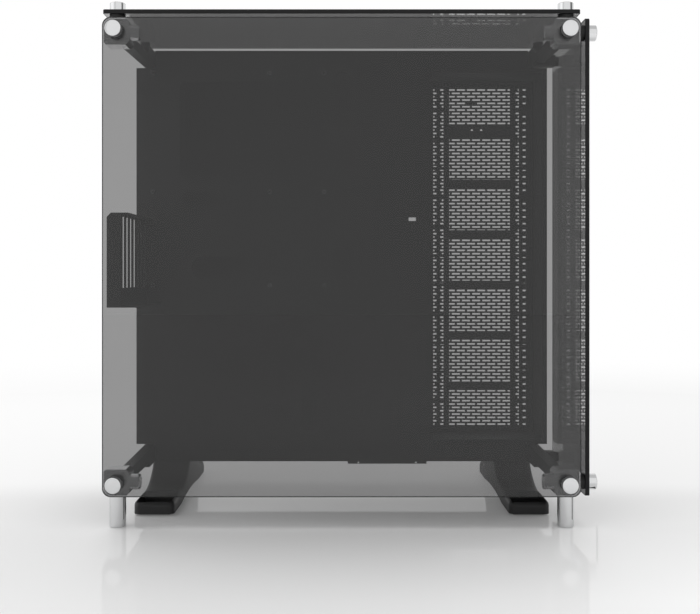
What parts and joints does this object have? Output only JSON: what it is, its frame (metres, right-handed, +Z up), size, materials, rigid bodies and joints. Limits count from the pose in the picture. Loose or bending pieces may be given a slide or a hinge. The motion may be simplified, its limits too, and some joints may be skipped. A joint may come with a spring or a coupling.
{
  "type": "computer case",
  "caption": "Open-frame computer case: folded steel tray on feet, with tinted glass panes held off its front, top and side by corner brackets and round knobs.",
  "frame": {"origin": "middle of the bounding box, at floor level", "axes": "+Z up, +X to the right seen from the front pane, +Y back from the front pane to the rear covers"},
  "size_m": [0.5714, 0.3376, 0.6067],
  "materials": {
    "black_steel": "fine textured black powder coat",
    "bracket_grey": "satin grey coat",
    "tinted_glass": "polished, smoke tint",
    "chrome": "polished",
    "rubber": "matt black",
    "foot_plastic": "matt black",
    "port_plastic": "matt black",
    "button_plastic": "gloss black",
    "screw_steel": "black zinc"
  },
  "bodies": {
    "case": {"tray_panel": "black_steel", "tray_rim": "black_steel", "fan_plate": "black_steel", "cable_cover": "black_steel", "vent_cover": "black_steel", "slot_bracket": "black_steel", "drive_tray": "black_steel", "bracket_top_left": "bracket_grey", "bracket_top_right": "bracket_grey", "bracket_bottom_left": "bracket_grey", "bracket_bottom_right": "bracket_grey", "block_nuts": "bracket_grey", "front_glass": "tinted_glass", "top_glass": "tinted_glass", "side_glass": "tinted_glass", "front_knobs": "chrome", "top_knobs": "chrome", "side_knobs": "chrome", "leg_left": "chrome", "leg_right": "chrome", "front_washers": "rubber", "top_washers": "rubber", "side_washers": "rubber", "top_pads": "rubber", "side_pads": "rubber", "foot_pads": "rubber", "grommet_upper": "rubber", "grommet_middle": "rubber", "grommet_lower": "rubber", "grommet_wide": "rubber", "foot_left": "foot_plastic", "foot_right": "foot_plastic", "port_panel": "port_plastic", "standoffs": "screw_steel", "cover_screws": "screw_steel", "bracket_screws": "screw_steel", "slot_screws": "screw_steel"},
    "power_button": {"power_button": "button_plastic"},
    "reset_button": {"reset_button": "button_plastic"}
  },
  "joints": [
    {"name": "power_press", "type": "slide", "parent": "case", "child": "power_button", "axis": [0, 0, -1], "range_m": [0, 0.0015], "stiffness_N_per_m": 300, "springref_m": -0.002},
    {"name": "reset_press", "type": "slide", "parent": "case", "child": "reset_button", "axis": [0, 0, -1], "range_m": [0, 0.0015], "stiffness_N_per_m": 300, "springref_m": -0.002}
  ]
}
